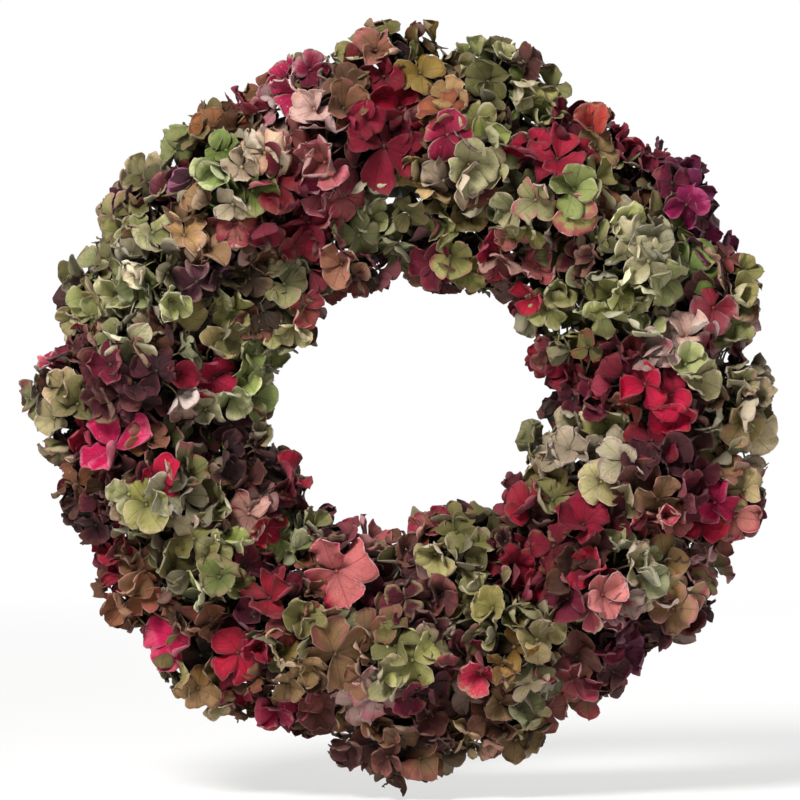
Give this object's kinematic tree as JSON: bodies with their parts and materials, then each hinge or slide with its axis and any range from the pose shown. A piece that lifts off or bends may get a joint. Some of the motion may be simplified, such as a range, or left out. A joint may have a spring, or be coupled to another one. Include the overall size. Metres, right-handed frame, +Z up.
{
  "type": "door wreath",
  "caption": "Round autumn door wreath of dried mophead flower heads on a flat-backed straw ring, hung by a wire sling and a swinging ring.",
  "frame": {"origin": "centre of the wreath's bounding box, 44 mm in front of the flat back", "axes": "+Z up when hung, +X to the right of a person facing the wreath, +Y towards the door; the wreath faces -Y"},
  "size_m": [0.422, 0.088, 0.432],
  "materials": {
    "straw": "dry straw, matte with a faint sheen along each stalk",
    "twine": "twisted jute, matte and hairy",
    "moss": "dried sheet moss, matte",
    "pin_wire": "dull bare wire",
    "dried_stem": "dried green-brown stem, matte",
    "sling_wire": "dark green lacquered florist wire",
    "ring_metal": "aged brass, satin",
    "petals_crimson": "dried petals, papery, matte, deep crimson with darker veins",
    "petals_burgundy": "dried petals, papery, matte, dark burgundy to plum",
    "petals_rose": "dried petals, papery, matte, dusty rose with tan edges",
    "petals_olive": "dried petals, papery, matte, olive to mustard with brown edges",
    "petals_green": "dried petals, papery, matte, pale green with cream edges",
    "petals_cream": "dried petals, papery, matte, cream flushed with pink"
  },
  "bodies": {
    "wreath": {"straw_core": "straw", "base_twine": "twine", "moss_bed": "moss", "moss_pins": "pin_wire", "stems_outer": "dried_stem", "stems_crown": "dried_stem", "stems_inner": "dried_stem", "hanger_sling": "sling_wire", "outer_bloom_01": "petals_crimson", "outer_bloom_02": "petals_olive", "outer_bloom_03": "petals_crimson", "outer_bloom_04": "petals_burgundy", "outer_bloom_05": "petals_green", "outer_bloom_06": "petals_green", "outer_bloom_07": "petals_crimson", "outer_bloom_08": "petals_rose", "outer_bloom_09": "petals_burgundy", "outer_bloom_10": "petals_rose", "outer_bloom_11": "petals_rose", "outer_bloom_12": "petals_crimson", "outer_bloom_13": "petals_olive", "outer_bloom_14": "petals_rose", "outer_bloom_15": "petals_burgundy", "outer_bloom_16": "petals_olive", "outer_bloom_17": "petals_green", "outer_bloom_18": "petals_green", "outer_bloom_19": "petals_green", "outer_bloom_20": "petals_rose", "crown_bloom_01": "petals_rose", "crown_bloom_02": "petals_crimson", "crown_bloom_03": "petals_green", "crown_bloom_04": "petals_crimson", "crown_bloom_05": "petals_burgundy", "crown_bloom_06": "petals_crimson", "crown_bloom_07": "petals_olive", "crown_bloom_08": "petals_green", "crown_bloom_09": "petals_olive", "crown_bloom_10": "petals_green", "crown_bloom_11": "petals_rose", "crown_bloom_12": "petals_burgundy", "crown_bloom_13": "petals_cream", "crown_bloom_14": "petals_crimson", "crown_bloom_15": "petals_rose", "inner_bloom_01": "petals_olive", "inner_bloom_02": "petals_olive", "inner_bloom_03": "petals_olive", "inner_bloom_04": "petals_crimson", "inner_bloom_05": "petals_rose", "inner_bloom_06": "petals_rose", "inner_bloom_07": "petals_cream", "inner_bloom_08": "petals_cream", "inner_bloom_09": "petals_olive", "inner_bloom_10": "petals_olive"},
    "hanger": {"hanging_ring": "ring_metal"}
  },
  "joints": [
    {"name": "hanger_ring_swing", "type": "hinge", "parent": "wreath", "child": "hanger", "pos_m": [0, 0.039, 0.1772], "axis": [-1, 0, 0], "range_deg": [0, 110]}
  ]
}
